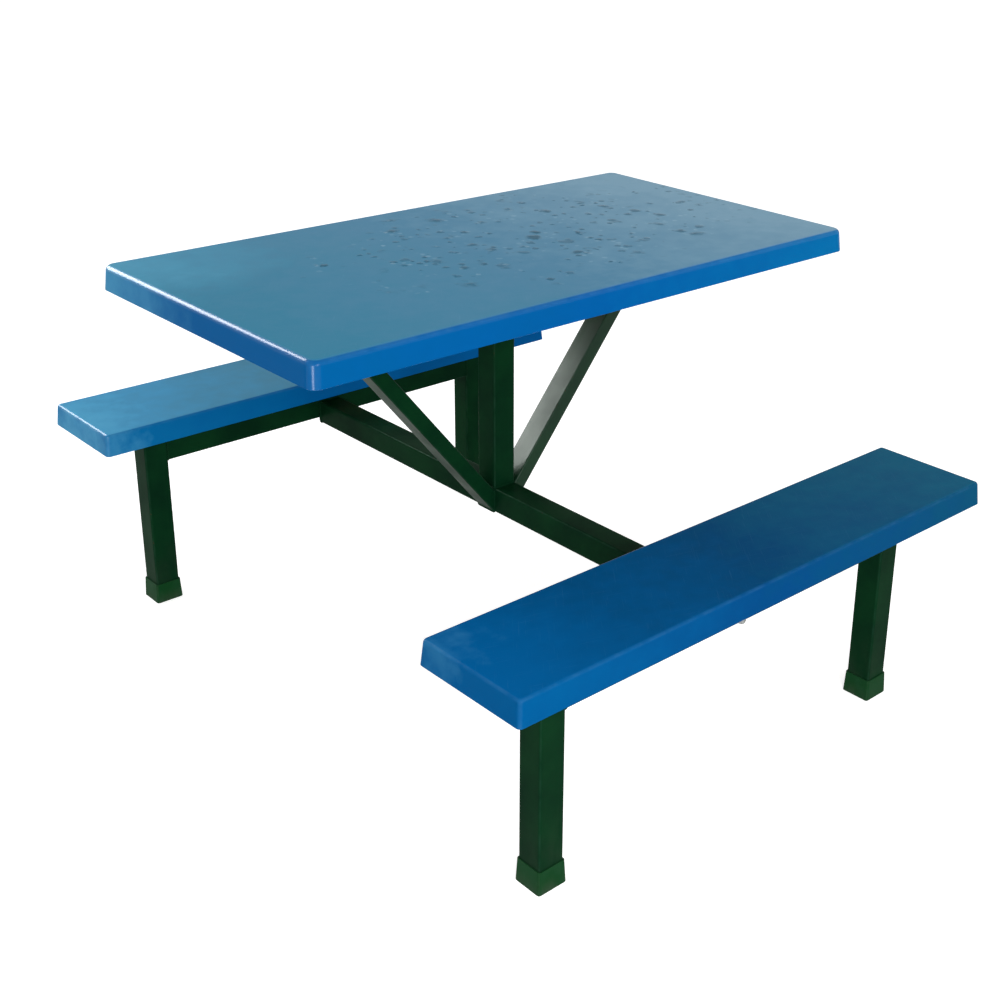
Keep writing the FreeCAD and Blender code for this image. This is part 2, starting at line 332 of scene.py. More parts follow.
def worn_corners_group():
    """A rounded corner is where the surface faces none of the piece's own sides. A piece that
    slants about the Y axis gives its slant, so that its sides count as sides."""
    tree, given = new_group("worn_corners", {"slant": 0.0, "amount": 1.0}, "mask")
    outwards = turned(tree, facing(tree), given["slant"], "Y_AXIS")
    outwards = put(tree, "ShaderNodeVectorMath", {0: outwards}, operation="ABSOLUTE")
    sides = [part_of(tree, outwards.outputs["Vector"], axis) for axis in "XYZ"]
    squarest = calculate(tree, "MAXIMUM", calculate(tree, "MAXIMUM", *sides[:2]), sides[2])
    corner = between(tree, calculate(tree, "SUBTRACT", 1.0, squarest), FLAT_FACE, FULL_CORNER)
    rubbed = between(tree, clouds(tree, on_piece(tree), 38.0), 0.38, 0.62, 0.15, 1.0)
    worn = times(tree, corner, rubbed)
    return give(tree, times(tree, worn, given["amount"]))


WORN_CORNERS = worn_corners_group()

# %% Fine scratches
SCRATCH_PULL = (14.0, 900.0, 900.0)
SECOND_HEADING = 1.9


def scratches_group():
    """Hair lines in two directions: a cloudy pattern pulled out long, of which only the
    brightest threads are kept."""
    tree, given = new_group("scratches", {"heading": 0.3, "amount": 1.0}, "mask")
    place = on_piece(tree)
    lines = []
    for further in (0.0, SECOND_HEADING):
        heading = calculate(tree, "ADD", given["heading"], further)
        pulled = stretched(tree, turned(tree, place, heading), SCRATCH_PULL)
        lines.append(between(tree, clouds(tree, pulled, 1.0, 2.0), 0.66, 0.72))
    both = calculate(tree, "MAXIMUM", *lines)
    return give(tree, times(tree, both, given["amount"]))


SCRATCHES = scratches_group()

# %% Rippled surface
def ripple_group():
    """The long waves and the fine orange peel of a poured or sprayed surface, as a normal."""
    inputs = {"wave size": 0.08, "wave height": 0.0002, "peel size": 0.003, "peel height": 0.00002}
    tree, given = new_group("ripple", inputs, "normal", "NodeSocketVector")
    place = on_piece(tree)
    normal = None
    for kind in ("wave", "peel"):
        scale = calculate(tree, "DIVIDE", 1.0, given[kind + " size"])
        bump = put(tree, "ShaderNodeBump", {"Height": clouds(tree, place, scale, 1.0),
                                            "Distance": given[kind + " height"]})
        if normal is not None:
            tree.links.new(normal, bump.inputs["Normal"])
        normal = bump.outputs["Normal"]
    return give(tree, normal)


RIPPLE = ripple_group()

# %% Dust near the floor
def dust_group():
    """Dirt that mops and shoes leave, thick at the floor and gone at a given height."""
    tree, given = new_group("dust", {"height": 0.12, "amount": 1.0}, "mask")
    place = on_piece(tree)
    share = calculate(tree, "DIVIDE", part_of(tree, place, "Z"), given["height"])
    fade = between(tree, share, 0.0, 1.0, 1.0, 0.0)
    streaks = stretched(tree, place, (1.0, 1.0, 0.35))
    broken = between(tree, clouds(tree, streaks, 45.0), 0.35, 0.65)
    dirt = times(tree, calculate(tree, "POWER", fade, 1.6), broken)
    return give(tree, times(tree, dirt, given["amount"]))


DUST = dust_group()

# %% Flat top
def flat_top_group():
    """The flat top of a piece, told from its sides by how far its skin faces upwards."""
    tree, given = new_group("flat_top", {"start": 0.80, "full": 0.99}, "mask")
    upward = part_of(tree, facing(tree), "Z")
    return give(tree, between(tree, upward, given["start"], given["full"]))


FLAT_TOP = flat_top_group()

# %% Colour from end to end
def end_to_end_group():
    """A colour that changes from a piece's left end over its middle to its right end."""
    inputs = {"along": 0.5, "left": GREY, "middle": GREY, "right": GREY}
    tree, given = new_group("end_to_end", inputs, "colour", "NodeSocketColor")
    first_half = mix_colours(tree, between(tree, given["along"], 0.0, 0.5), given["left"],
                             given["middle"])
    second_half = between(tree, given["along"], 0.5, 1.0)
    return give(tree, mix_colours(tree, second_half, first_half, given["right"]))


END_TO_END = end_to_end_group()

# %% Painted sheen spot
def painted_sheen_group():
    """A pale spot painted on as a sheen that stands for a reflection, strongest at one spot and gone
    at a given reach, with a border as uneven as the ragged input makes it."""
    inputs = {"spot": (0.0, 0.0, 0.0), "reach": 0.2, "strength": 0.5, "ragged": 0.0}
    tree, given = new_group("painted_sheen_spot", inputs, "mask")
    away = put(tree, "ShaderNodeVectorMath", {0: on_piece(tree), 1: given["spot"]},
               operation="DISTANCE").outputs["Value"]
    away = calculate(tree, "ADD", away, times(tree, given["ragged"], 0.5))
    nearest = times(tree, given["reach"], 0.25)
    return give(tree, between(tree, away, nearest, given["reach"], given["strength"], 0.0))


PAINTED_SHEEN = painted_sheen_group()

# %% [markdown]
# ## Gelcoat
# A moulding's outer skin is gelcoat, a coloured resin that is sprayed into the polished mould
# before the glass goes in. It comes out deep blue and glossy. Years of scrubbing and sliding
# trays turn a flat top duller and somewhat lighter, and leave the upright skirts as blue as they
# were. The rest of the tops' lighter, greener colour is a painted reflection, the colours that
# change from end to end hold painted shade and painted reflection, a pale spot on each piece is a
# painted sheen, and the rounded edges are pale partly from wear and partly as a painted
# highlight. One function makes all six gelcoats with masks: the skin's own direction tells top
# from skirt, and the groups above add the rest of the wear and the painted light.

# %% A material with its shader
def new_material(name):
    """A material, its tree and its Principled shader."""
    material = bpy.data.materials.new(name)
    material.use_nodes = True
    return material, material.node_tree, material.node_tree.nodes["Principled BSDF"]


def set_shader(tree, shader, **values):
    """Link or set the named sockets of a shader."""
    for name, value in values.items():
        socket = shader.inputs[name.replace("_", " ")]
        if isinstance(value, bpy.types.NodeSocket):
            tree.links.new(value, socket)
        else:
            socket.default_value = value


def sparkle(shader, level):
    """How strongly a surface mirrors when it is looked at straight on. 0.5 is bare plastic."""
    shader.inputs["Specular IOR Level"].default_value = level


print("material helpers ready")

# %% Spilt drops on the tabletop
SPILL_MIDDLE = (0.17, 0.02, 0.0)
SPILL_REACH = (0.50, 0.25, 1.0)
DROP_HEIGHT = 0.8 * MM
SPILL_STRENGTH = 0.95
PAINTED_GLINT_STRENGTH = 0.45
# How far across a kind of drop is, in metres, and the share of places that hold one.
PUDDLES = (0.024, 0.62)
DROPS = (0.012, 0.55)
# The fine drops only place the pale painted glints.
FINE_DROPS = (0.008, 0.30)


def spilt_drops(tree, place, across, share):
    """Drops and short smears of spilt water: of the cells in a pattern only a share holds one,
    each with its own size, and their outlines are disturbed so that none is round."""
    drift = put(tree, "ShaderNodeTexNoise", {"Vector": place, "Scale": 1.6 / across, "Detail": 2.0})
    centred = put(tree, "ShaderNodeVectorMath", {0: drift.outputs["Color"], 1: (0.5, 0.5, 0.5)},
                  operation="SUBTRACT").outputs["Vector"]
    shift = put(tree, "ShaderNodeVectorMath", {0: centred, "Scale": 0.9 * across},
                operation="SCALE").outputs["Vector"]
    moved = put(tree, "ShaderNodeVectorMath", {0: place, 1: shift}).outputs["Vector"]
    cells = put(tree, "ShaderNodeTexVoronoi", {"Vector": moved, "Scale": 1.0 / (2.2 * across)},
                voronoi_dimensions="2D")
    lot = put(tree, "ShaderNodeSeparateColor", {"Color": cells.outputs["Color"]}).outputs
    radius = between(tree, lot["Green"], 0.0, 1.0, 0.14, 0.38)
    edge = calculate(tree, "SUBTRACT", radius, cells.outputs["Distance"])
    drop = between(tree, edge, 0.0, 0.17)
    kept = between(tree, lot["Red"], share, share + 0.01, 1.0, 0.0)
    depth = between(tree, lot["Blue"], 0.0, 1.0, 0.5, 1.0)
    return times(tree, times(tree, drop, kept), depth)


def spill_region(tree, place):
    """Where on the tabletop the spill is: loose chains in a broad patch with a ragged border."""
    from_middle = put(tree, "ShaderNodeMapping", {"Vector": place, "Location": SPILL_MIDDLE,
                                                  "Scale": SPILL_REACH}, vector_type="TEXTURE")
    distance = put(tree, "ShaderNodeVectorMath", {0: from_middle.outputs["Vector"]},
                   operation="LENGTH").outputs["Value"]
    frayed = between(tree, clouds(tree, place, 9.0), 0.3, 0.7, -0.35, 0.35)
    inside = between(tree, calculate(tree, "ADD", distance, frayed), 0.75, 1.0, 1.0, 0.0)
    chains = between(tree, clouds(tree, place, 15.0, 2.0), 0.44, 0.52)
    return times(tree, inside, chains)


print("spill around", SPILL_MIDDLE[:2])

# %% Gelcoat colours
# Pale colour for scratches, which are wear, and for rounded corners, which are partly wear and partly a
# painted highlight.
PALE_WEAR_AND_HIGHLIGHT = (0.16, 0.40, 0.62)
# A pale blue painted on as a sheen that stands for a reflection near one end of a piece.
PAINTED_SHEEN_BLUE = (0.110, 0.430, 0.640)
SPILL_BLUE = (0.003, 0.090, 0.155)
# The pale colour of the small drops is a painted glint of light on the water.
PAINTED_DROP_GLINT = (0.330, 0.520, 0.640)
SCRUBBED_DULL = 0.14
WET_ROUGHNESS = 0.12
LARGE_PATCHES, SMALL_PATCHES = 0.16, 0.10

# The colours of each moulding's skirt and top at its left end, in its middle and at its right
# end, how far its ends are from the middle, the spot of a pale painted sheen, how far that sheen
# reaches and how strong it is, and how strongly the gelcoat mirrors. These colours hold painted
# light as well as the gelcoat's own colour: the tops are lighter than the skirts partly as a
# painted reflection, the tabletop's top grows lighter towards its right end and the back seat is
# lighter at its left end as painted reflection, and the front seat darkens from its left end
# towards its middle and right as painted shade under the tabletop. The rounded edges, which
# nobody scrubs, have kept more of their polish than the rest.
MOULDING_COLOURS_AND_PAINTED_LIGHT = {
    "tabletop": {"skirt": ((0.0004, 0.096, 0.295), (0.0004, 0.098, 0.335), (0.001, 0.150, 0.395)),
                 "top": ((0.036, 0.218, 0.350), (0.080, 0.243, 0.385), (0.210, 0.388, 0.520)),
                 "end": 0.56, "painted_sheen_spot": (-0.62, 0.36, 0.77), "sheen_reach": 0.34, "sheen_strength": 0.50,
                 "mirror": 0.012, "spills": True},
    "back_seat": {"skirt": ((0.002, 0.130, 0.340), (0.0004, 0.100, 0.320), (0.0004, 0.105, 0.350)),
                  "top": ((0.058, 0.310, 0.555), (0.066, 0.225, 0.340), (0.075, 0.240, 0.370)),
                  "end": 0.51, "painted_sheen_spot": (-0.58, 0.60, 0.38), "sheen_reach": 0.17, "sheen_strength": 0.50,
                  "mirror": 0.012, "spills": False},
    "front_seat": {"skirt": ((0.0003, 0.090, 0.265), (0.0003, 0.060, 0.205), (0.001, 0.078, 0.170)),
                   "top": ((0.0003, 0.100, 0.300), (0.0003, 0.064, 0.181), (0.006, 0.119, 0.220)),
                   "end": 0.51, "painted_sheen_spot": (-0.56, -0.46, 0.42), "sheen_reach": 0.10, "sheen_strength": 0.15,
                   "mirror": 0.008, "spills": False},
}
EDGE_MIRROR = {"tabletop": 0.10, "back_seat": 0.10, "front_seat": 0.02}
print("colours for", len(MOULDING_COLOURS_AND_PAINTED_LIGHT), "mouldings")

# %% Gelcoat material
def from_end_to_end(tree, along, colours):
    """Place the group for three colours from end to end with the colours of a skirt or top."""
    left, middle, right = ((*colour, 1.0) for colour in colours)
    return from_group(tree, END_TO_END, along=along, left=left, middle=middle, right=right)


def gelcoat(name, skirt, top, end, painted_sheen_spot, sheen_reach, sheen_strength, mirror, spills):
    """Blue gelcoat that changes colour along the piece, with painted shade and painted reflection in
    those colours, a top that is duller from scrubbing and lighter partly as a painted reflection, a
    pale spot painted on as a sheen, perhaps with a spill."""
    material, tree, shader = new_material(name)
    place = on_piece(tree)
    is_top = from_group(tree, FLAT_TOP, start=0.80, full=0.99)
    patches = from_group(tree, UNEVEN, size=0.22, amount=LARGE_PATCHES)
    small_patches = from_group(tree, UNEVEN, size=0.035, amount=SMALL_PATCHES)
    mottle = calculate(tree, "SUBTRACT", calculate(tree, "ADD", patches, small_patches),
                       (LARGE_PATCHES + SMALL_PATCHES) / 2)
    along = calculate(tree, "ADD", between(tree, part_of(tree, place, "X"), -end, end), mottle)
    # The top's colours are lighter than the skirt's partly as a painted reflection, and the colours
    # from end to end hold painted shade and painted reflection.
    colour = mix_colours(tree, is_top, from_end_to_end(tree, along, skirt),
                         from_end_to_end(tree, along, top))
    # A pale spot painted in as a sheen that stands for a reflection.
    paler = from_group(tree, PAINTED_SHEEN, spot=painted_sheen_spot, reach=sheen_reach, strength=sheen_strength,
                       ragged=mottle)
    colour = mix_colours(tree, paler, colour, PAINTED_SHEEN_BLUE)
    lines = from_group(tree, SCRATCHES, heading=0.35, amount=0.08)
    lines = times(tree, lines, is_top)
    # Rounded corners turn pale, partly as wear and partly as a painted highlight.
    corners = from_group(tree, WORN_CORNERS, slant=0.0, amount=0.06)
    colour = mix_colours(tree, calculate(tree, "MAXIMUM", lines, corners), colour, PALE_WEAR_AND_HIGHLIGHT)
    rough = calculate(tree, "ADD", between(tree, patches, 0.0, LARGE_PATCHES, 0.18, 0.26),
                      times(tree, is_top, SCRUBBED_DULL))
    normal = from_group(tree, RIPPLE, wave_size=0.10, wave_height=0.0005, peel_size=0.004,
                        peel_height=0.00002)
    if spills:
        flat_place = put(tree, "ShaderNodeVectorMath", {0: place, 1: (1.0, 1.0, 0.0)},
                         operation="MULTIPLY").outputs["Vector"]
        drops = calculate(tree, "MAXIMUM", spilt_drops(tree, flat_place, *PUDDLES),
                          spilt_drops(tree, flat_place, *DROPS))
        region = times(tree, spill_region(tree, flat_place), is_top)
        wet = times(tree, drops, region)
        dark = times(tree, wet, SPILL_STRENGTH)
        colour = mix_colours(tree, dark, colour, SPILL_BLUE)
        # The small pale drops are painted glints of light on the water.
        beads = times(tree, spilt_drops(tree, flat_place, *FINE_DROPS), region)
        shine = times(tree, beads, PAINTED_GLINT_STRENGTH)
        colour = mix_colours(tree, shine, colour, PAINTED_DROP_GLINT)
        rough = put(tree, "ShaderNodeMix", {0: wet, 2: rough, 3: WET_ROUGHNESS}).outputs[0]
        normal = put(tree, "ShaderNodeBump", {"Height": wet, "Distance": DROP_HEIGHT,
                                              "Normal": normal}).outputs["Normal"]
    set_shader(tree, shader, Base_Color=colour, Roughness=rough, Normal=normal)
    sparkle(shader, mirror)
    return material


gelcoats = {}
polished = {}
for part, looks in MOULDING_COLOURS_AND_PAINTED_LIGHT.items():
    gelcoats[part] = gelcoat("gelcoat_" + part, **looks)
    edge_looks = {**looks, "mirror": EDGE_MIRROR[part], "spills": False}
    polished[part] = gelcoat("polished_edge_" + part, **edge_looks)
print("gelcoats", list(gelcoats))

# %% [markdown]
# ## Raw laminate
# Inside the mouldings nothing is smooth. Chopped glass strands lie in every direction in cured
# resin, and the back of the laminate shows them as a felt of short pale threads. A woven
# texture would be wrong, because this mat isn't woven: strands pulled out long in several
# headings, the brightest of each kept, give the same felt.

# %% Laminate material
RESIN = (0.060, 0.135, 0.170)
GLASS_THREAD = (0.170, 0.270, 0.300)
THREAD_HEADINGS = 5
THREAD_PULL = (35.0, 900.0, 300.0)


def laminate():
    """Cured resin with chopped glass threads in it."""
    material, tree, shader = new_material("laminate")
    place = on_piece(tree)
    threads = 0.0
    for number in range(THREAD_HEADINGS):
        heading = turned(tree, place, math.pi * number / THREAD_HEADINGS)
        pulled = stretched(tree, heading, THREAD_PULL)
        felt = between(tree, clouds(tree, pulled, 1.0, 1.0), 0.55, 0.70)
        threads = calculate(tree, "MAXIMUM", felt, threads)
    patches = from_group(tree, UNEVEN, size=0.06, amount=0.6)
    visible = times(tree, threads, between(tree, patches, 0.0, 0.6, 0.9, 0.4))
    colour = mix_colours(tree, visible, RESIN, GLASS_THREAD)
    bump = put(tree, "ShaderNodeBump", {"Height": threads, "Distance": 0.35 * MM})
    set_shader(tree, shader, Base_Color=colour, Roughness=between(tree, threads, 0.0, 1.0, 0.35, 0.6),
               Normal=bump.outputs["Normal"])
    sparkle(shader, 0.2)
    return material


laminate_finish = laminate()
print("laminate with", THREAD_HEADINGS, "thread headings")

# %% [markdown]
# ## Green paint
# The frame is welded first and sprayed afterwards, so one dark green coat runs over tubes,
# plates and weld beads alike. It is thin on corners, where knees and shoes rub it paler and
# small chips let rust through, and it collects dust near the floor. The right brace has kept
# more of its shine than the rest.

# %% Paint material
PAINT_GREEN = (0.0026, 0.0300, 0.0098)
PAINT_DEEP = (0.0016, 0.0190, 0.0075)
PAINT_RUBBED = (0.020, 0.060, 0.038)
RUST = (0.060, 0.024, 0.010)
FLOOR_DUST = (0.060, 0.075, 0.055)
PAINT_MIRROR = 0.011
BRACE_MIRROR = 0.13


def paint(name, slant, rubbed, mirror=PAINT_MIRROR):
    """Dark green paint for a piece whose sides slant about the Y axis by an angle, with its
    corners rubbed by an amount."""
    material, tree, shader = new_material(name)
    patches = from_group(tree, UNEVEN, size=0.09, amount=1.0)
    colour = mix_colours(tree, patches, PAINT_GREEN, PAINT_DEEP)
    corners = from_group(tree, WORN_CORNERS, slant=slant, amount=rubbed)
    colour = mix_colours(tree, corners, colour, PAINT_RUBBED)
    chips = between(tree, clouds(tree, on_piece(tree), 120.0, 3.0), 0.66, 0.69)
    chips = times(tree, chips, between(tree, corners, 0.1, 0.4))
    colour = mix_colours(tree, chips, colour, RUST)
    dust = from_group(tree, DUST, height=0.16, amount=0.20)
    colour = mix_colours(tree, dust, colour, FLOOR_DUST)
    rough = calculate(tree, "ADD", between(tree, patches, 0.0, 1.0, 0.30, 0.42),
                      times(tree, calculate(tree, "MAXIMUM", dust, chips), 0.35))
    normal = from_group(tree, RIPPLE, wave_size=0.05, wave_height=0.00015, peel_size=0.0025,
                        peel_height=0.00003)
    set_shader(tree, shader, Base_Color=colour, Roughness=rough, Normal=normal)
    sparkle(shader, mirror)
    return material


BRACE_SLANT = math.radians(39.0)
paints = {"straight": paint("green_paint", 0.0, 0.35),
          "left": paint("green_paint_left_brace", BRACE_SLANT, 0.35),
          "right": paint("green_paint_right_brace", -BRACE_SLANT, 0.35, BRACE_MIRROR),
          "weld": paint("green_paint_on_welds", 0.0, 0.1)}
print("paints", list(paints))

# %% [markdown]
# ## Foot plastic, plywood and zinc
# The caps on the feet are moulded plastic, close to the paint in colour but duller and a little
# lighter, and scuffed pale along the bottom by the floor. The boards inside the mouldings are
# plywood: long brown grain on the faces and thin light and dark plies on the edges. The bolts,
# washers, nuts and inserts are zinc-plated steel, a bright metal that dulls in patches.

# %% Foot plastic material
FOOT_GREEN = (0.0035, 0.0430, 0.0105)
FOOT_PALE = (0.014, 0.062, 0.028)


def foot_plastic():
    """Satin moulded plastic, scuffed near the floor."""
    material, tree, shader = new_material("foot_plastic")
    patches = from_group(tree, UNEVEN, size=0.03, amount=0.35)
    colour = mix_colours(tree, patches, FOOT_GREEN, FOOT_PALE)
    corners = from_group(tree, WORN_CORNERS, slant=0.0, amount=0.2)
    dust = from_group(tree, DUST, height=0.03, amount=0.5)
    colour = mix_colours(tree, calculate(tree, "MAXIMUM", corners, dust), colour, FLOOR_DUST)
    normal = from_group(tree, RIPPLE, wave_size=0.02, wave_height=0.0001, peel_size=0.0015,
                        peel_height=0.00004)
    set_shader(tree, shader, Base_Color=colour, Roughness=between(tree, dust, 0.0, 1.0, 0.5, 0.8),
               Normal=normal)
    sparkle(shader, 0.03)
    return material


foot_finish = foot_plastic()
print("foot plastic ready")

# %% Plywood material
WOOD_LIGHT = (0.46, 0.31, 0.17)
WOOD_DARK = (0.27, 0.16, 0.08)
GRAIN_PULL = (3.0, 70.0, 70.0)
PLY_THICKNESS = 1.5 * MM


def plywood():
    """Plywood with its grain along the table and its plies on the edges."""
    material, tree, shader = new_material("plywood")
    place = on_piece(tree)
    grain = between(tree, clouds(tree, stretched(tree, place, GRAIN_PULL), 1.0, 6.0), 0.35, 0.68)
    ply = calculate(tree, "PINGPONG", part_of(tree, place, "Z"), PLY_THICKNESS)
    ply = between(tree, ply, 0.4 * PLY_THICKNESS, 0.6 * PLY_THICKNESS)
    level = calculate(tree, "ABSOLUTE", part_of(tree, facing(tree), "Z"))
    face = between(tree, level, 0.4, 0.6)
    shade = put(tree, "ShaderNodeMix", {0: face, 2: ply, 3: grain}).outputs[0]
    stain = from_group(tree, UNEVEN, size=0.15, amount=0.35)
    colour = mix_colours(tree, calculate(tree, "MAXIMUM", shade, stain), WOOD_LIGHT, WOOD_DARK)
    bump = put(tree, "ShaderNodeBump", {"Height": grain, "Distance": 0.15 * MM})
    set_shader(tree, shader, Base_Color=colour, Roughness=between(tree, grain, 0.0, 1.0, 0.6, 0.75),
               Normal=bump.outputs["Normal"])
    sparkle(shader, 0.2)
    return material


plywood_finish = plywood()
print("plywood with plies of", PLY_THICKNESS / MM, "mm")

# %% Zinc material
ZINC_BRIGHT = (0.36, 0.37, 0.37)
ZINC_DULL = (0.21, 0.22, 0.21)


def zinc():
    """Zinc plate, bright with dull patches."""
    material, tree, shader = new_material("zinc_plate")
    patches = from_group(tree, UNEVEN, size=0.006, amount=1.0)
    colour = mix_colours(tree, patches, ZINC_BRIGHT, ZINC_DULL)
    normal = from_group(tree, RIPPLE, wave_size=0.004, wave_height=0.00003, peel_size=0.0008,
                        peel_height=0.00001)
    set_shader(tree, shader, Base_Color=colour, Roughness=between(tree, patches, 0.0, 1.0, 0.28, 0.5),
               Metallic=1.0, Normal=normal)
    return material


zinc_finish = zinc()
print("zinc ready")

# %% Dress the CAD nodes
finishes = {"blue_gelcoat": gelcoats["tabletop"], "green_paint": paints["straight"],
            "foot_plastic": foot_finish, "plywood": plywood_finish, "zinc_plate": zinc_finish}
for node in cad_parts.values():
    slot = node.material_slots[0]
    slot.material = finishes[slot.material.name.split(".")[0]]
for side in ("left", "right"):
    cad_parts["brace_" + side].material_slots[0].material = paints[side]
print("dressed", len(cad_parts), "nodes")

# %% [markdown]
# ## Modelling by hand, in code
# Blender's edit-mode tools act on whatever is selected. By hand the selection is made with the
# mouse. Here it is made by a test, such as "faces that point up" or "edges at this height", and
# the rest reads like the steps of a lesson: add a box, taper it, bevel it, cut it, thicken it.

# %% Selecting in code
# A face whose normal climbs by more than this faces up.
UP = 0.9


def select_only(piece):
    """Deselect everything, then select one piece."""
    bpy.ops.object.select_all(action="DESELECT")
    piece.select_set(True)
    bpy.context.view_layer.objects.active = piece


def edit(piece, kind):
    """Enter edit mode on one piece with nothing selected. Kind is VERT, EDGE or FACE."""
    select_only(piece)
    bpy.ops.object.mode_set(mode="EDIT")
    bpy.ops.mesh.select_mode(type=kind)
    bpy.ops.mesh.select_all(action="DESELECT")


def pick(piece, kind, wanted):
    """In edit mode, select the faces or edges that pass a test."""
    bpy.ops.mesh.select_mode(type=kind)
    bpy.ops.mesh.select_all(action="DESELECT")
    mesh = bmesh.from_edit_mesh(piece.data)
    for element in (mesh.faces if kind == "FACE" else mesh.edges):
        element.select_set(bool(wanted(element)))
    bmesh.update_edit_mesh(piece.data)


def leave_edit():
    """Back to object mode."""
    bpy.ops.object.mode_set(mode="OBJECT")


def apply_modifier(piece, kind, **settings):
    """Add a modifier, set it and apply it."""
    select_only(piece)
    modifier = piece.modifiers.new(kind.lower(), kind)
    for name, value in settings.items():
        setattr(modifier, name, value)
    bpy.ops.object.modifier_apply(modifier=modifier.name)


print("modelling helpers ready")

# %% Boxes and finishing
SMOOTH_BELOW = math.radians(32.0)
SHARP_FROM = math.radians(60.0)
SAME_HEIGHT = 0.1 * MM


def tapered_box(name, low, high, lean):
    """A box between two corners, its sides leaning in towards its top. Stays in edit mode."""
    size = high - low
    bpy.ops.object.select_all(action="DESELECT")
    bpy.ops.mesh.primitive_cube_add(size=1.0, location=(low + high) / 2, scale=size)
    piece = bpy.context.object
    piece.name = name
    piece.data.name = name
    bpy.ops.object.transform_apply(location=True, rotation=True, scale=True)
    edit(piece, "FACE")
    pick(piece, "FACE", lambda face: face.normal.z > UP)
    less = 2 * size.z * math.tan(lean)
    bpy.ops.transform.resize(value=(1 - less / size.x, 1 - less / size.y, 1.0),
                             center_override=((low.x + high.x) / 2, (low.y + high.y) / 2, high.z))
    return piece


def is_upright(edge):
    """True for an edge that climbs."""
    start, end = (vertex.co for vertex in edge.verts)
    return abs(start.z - end.z) > 0.5 * (start - end).length


def lies_at(edge, height):
    """True for an edge that lies level at a height."""
    return all(abs(vertex.co.z - height) < SAME_HEIGHT for vertex in edge.verts)


def smooth(piece):
    """Smooth shading on round edges, with the flat faces kept flat."""
    select_only(piece)
    bpy.ops.object.shade_smooth_by_angle(angle=SMOOTH_BELOW)
    apply_modifier(piece, "WEIGHTED_NORMAL", keep_sharp=True, weight=80)


def middle(node):
    """The middle of a node's box."""
    low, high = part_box(node)
    return (low + high) / 2


def copied(piece, name, node, new_node):
    """A copy of a piece with its own mesh, moved in that mesh from one node's place to another's."""
    select_only(piece)
    bpy.ops.object.duplicate()
    twin = bpy.context.object
    twin.name = name
    twin.data.name = name
    edit(twin, "VERT")
    bpy.ops.mesh.select_all(action="SELECT")
    bpy.ops.transform.translate(value=middle(new_node) - middle(node))
    leave_edit()
    return twin


def finish_piece(piece, slot, *materials, replaces=()):
    """Give a piece its materials and its body, and hide the nodes that it stands for. The slot is not
    used.
    """
    for material in materials:
        piece.data.materials.append(material)
    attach(piece, "root")
    if replaces:
        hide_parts(*replaces)
    print(piece.name, "has", len(piece.data.polygons), "faces")


print("box helpers ready")

# %% [markdown]
# ## The three mouldings
# A canteen tabletop is a shallow tray turned upside down, laid up in a mould. Its skirt leans
# out by a few degrees so that it lets go of the mould, and every edge is rounded. It could be
# drawn as a profile and spun or swept, but the real thing comes from a box-shaped mould, so a
# box is the short way: taper it, round its upright corners, take its bottom off, round its rim
# and thicken it inwards. Cuts across the flat faces let the surface wander by a fraction of a
# millimetre, as cured laminate does, and the inside gets the raw laminate. Both seats come out
# of one mould, so one of them is modelled and the other is its copy.

# %% One moulding
MOULD_DRAFT = math.radians(5.0)
SHELL_WALL = 4.0 * MM
WANDER = 0.35 * MM
WANDER_SIZE = 0.16
GRID_STEP = 0.035
CUT_CLEAR = 2.0 * MM
CORNER_STEPS, RIM_STEPS = 9, 7
TRIMMED_EDGE = 0.7 * MM
NEAR_RIM = 0.5 * MM
# A round edge's faces look away from a flat side by more than the first, and short of straight
# up by the second.
OFF_SIDE = 0.12
OFF_TOP = 0.985


def cut_across(axis, place):
    """Cut a whole mesh with a plane square to an axis, and keep both sides."""
    bpy.ops.mesh.select_all(action="SELECT")
    normal = [0.0, 0.0, 0.0]
    normal[axis] = 1.0
    point = [place * part for part in normal]
    bpy.ops.mesh.bisect(plane_co=point, plane_no=normal)


def cut_grid(low, high, margin):
    """Cuts across a moulding, evenly spaced, with one close to each round edge."""
    for axis in (0, 1):
        start, end = low[axis] + margin, high[axis] - margin
        steps = max(1, round((end - start) / GRID_STEP))
        for step in range(steps + 1):
            cut_across(axis, start + (end - start) * step / steps)


def wander(piece):
    """Sink every point below the mould's surface by a little, more here and less there."""
    for vertex in piece.data.vertices:
        drift = 0.5 + 0.5 * noise.noise(vertex.co / WANDER_SIZE)
        vertex.co -= vertex.normal * WANDER * min(max(drift, 0.0), 1.0)


def is_round_edge(face):
    """True for an outside face of the round rim or of a round upright corner."""
    on_rim = OFF_SIDE < face.normal.z < OFF_TOP
    on_corner = abs(face.normal.x) > OFF_SIDE and abs(face.normal.y) > OFF_SIDE
    return face.material_index == 0 and (on_rim or on_corner) and face.normal.z > 0.0


